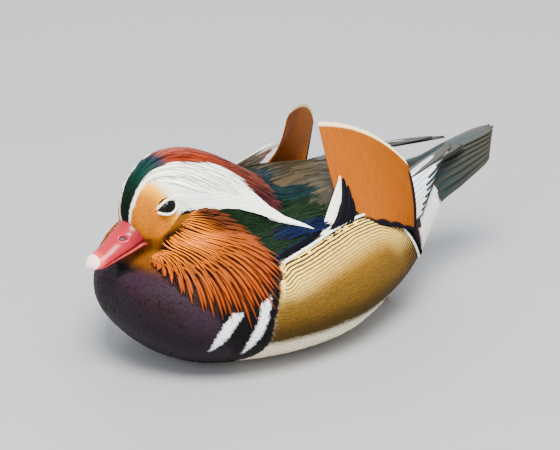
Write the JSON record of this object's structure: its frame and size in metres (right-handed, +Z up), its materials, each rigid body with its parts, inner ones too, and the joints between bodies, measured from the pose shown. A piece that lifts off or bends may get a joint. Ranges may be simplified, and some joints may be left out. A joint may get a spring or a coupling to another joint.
{
  "type": "mandarin duck",
  "caption": "Life-size drake of a small perching duck afloat, neck drawn in, with cheek ruffs, swept crest, raised sail feathers, folded wings and a tiered tail.",
  "frame": {"origin": "centre of the flat of the belly that the bird sits on", "axes": "+X from bill to tail, +Z up, the bird's left side towards -Y"},
  "size_m": [0.311, 0.15, 0.1309],
  "materials": {
    "maroon_breast": "close, silky maroon feathers",
    "olive_feathers": "smooth olive-brown vanes with a faint sheen",
    "white_down": "soft white down",
    "buff_flank": "buff feathers, finely barred",
    "green_neck": "glossy green plumes",
    "rust_hackles": "narrow rust-orange plumes",
    "orange_sail": "fine orange vane",
    "coral_bill": "satin coral-red bill sheath",
    "pale_nail": "satin pale nail",
    "dark_eye": "wet, clear gloss",
    "ochre_foot": "scaled ochre skin"
  },
  "bodies": {
    "root": {"breast": "maroon_breast", "back": "olive_feathers", "belly": "white_down", "flank_left": "buff_flank", "flank_right": "buff_flank", "rump": "olive_feathers", "undertail": "white_down", "neck": "green_neck", "head": "rust_hackles", "eye_left": "dark_eye", "eye_right": "dark_eye", "bill_upper": "coral_bill", "bill_lower": "coral_bill", "bill_nail": "pale_nail", "wing_left": "olive_feathers", "wing_right": "olive_feathers", "sail_left": "orange_sail", "sail_right": "orange_sail", "tail": "olive_feathers", "leg_left": "ochre_foot", "leg_right": "ochre_foot", "foot_left": "ochre_foot", "foot_right": "ochre_foot"}
  },
  "joints": []
}
